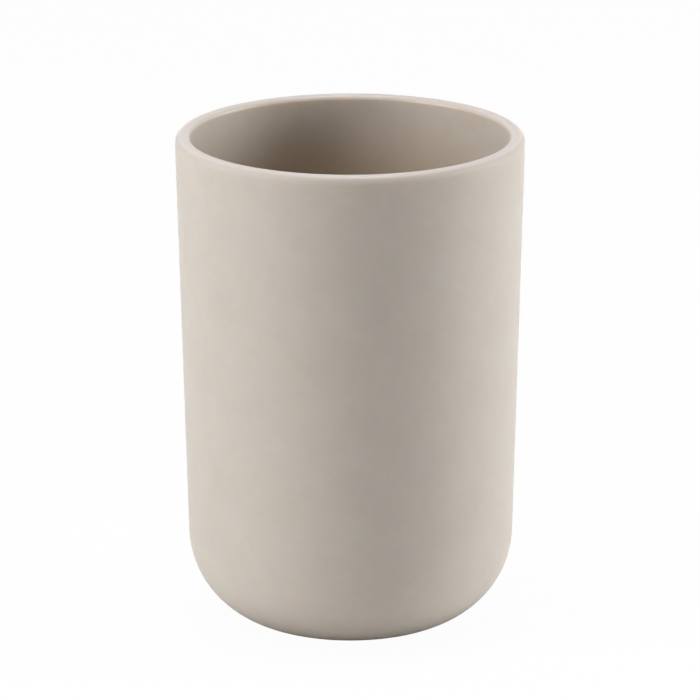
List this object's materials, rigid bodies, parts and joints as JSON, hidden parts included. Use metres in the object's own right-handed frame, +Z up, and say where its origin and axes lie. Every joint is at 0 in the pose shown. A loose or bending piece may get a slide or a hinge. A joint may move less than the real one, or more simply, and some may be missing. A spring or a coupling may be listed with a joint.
{
  "type": "bathroom tumbler",
  "caption": "Plain round tumbler with a slightly tapered wall, a rounded rim, a large rounded corner at its base and a non-slip pad under it.",
  "frame": {"origin": "centre of the foot pad's underside, where the tumbler meets the shelf", "axes": "+Z up along the cup's axis, towards its open rim; the cup is the same all round"},
  "size_m": [0.075, 0.075, 0.109],
  "materials": {
    "cup": "fine matte moulded texture, greige",
    "foot_pad": "matte closed-cell rubber",
    "pad_adhesive": "clear double-sided film"
  },
  "bodies": {
    "root": {"cup": "cup", "foot_pad": "foot_pad", "pad_adhesive": "pad_adhesive"}
  },
  "joints": []
}
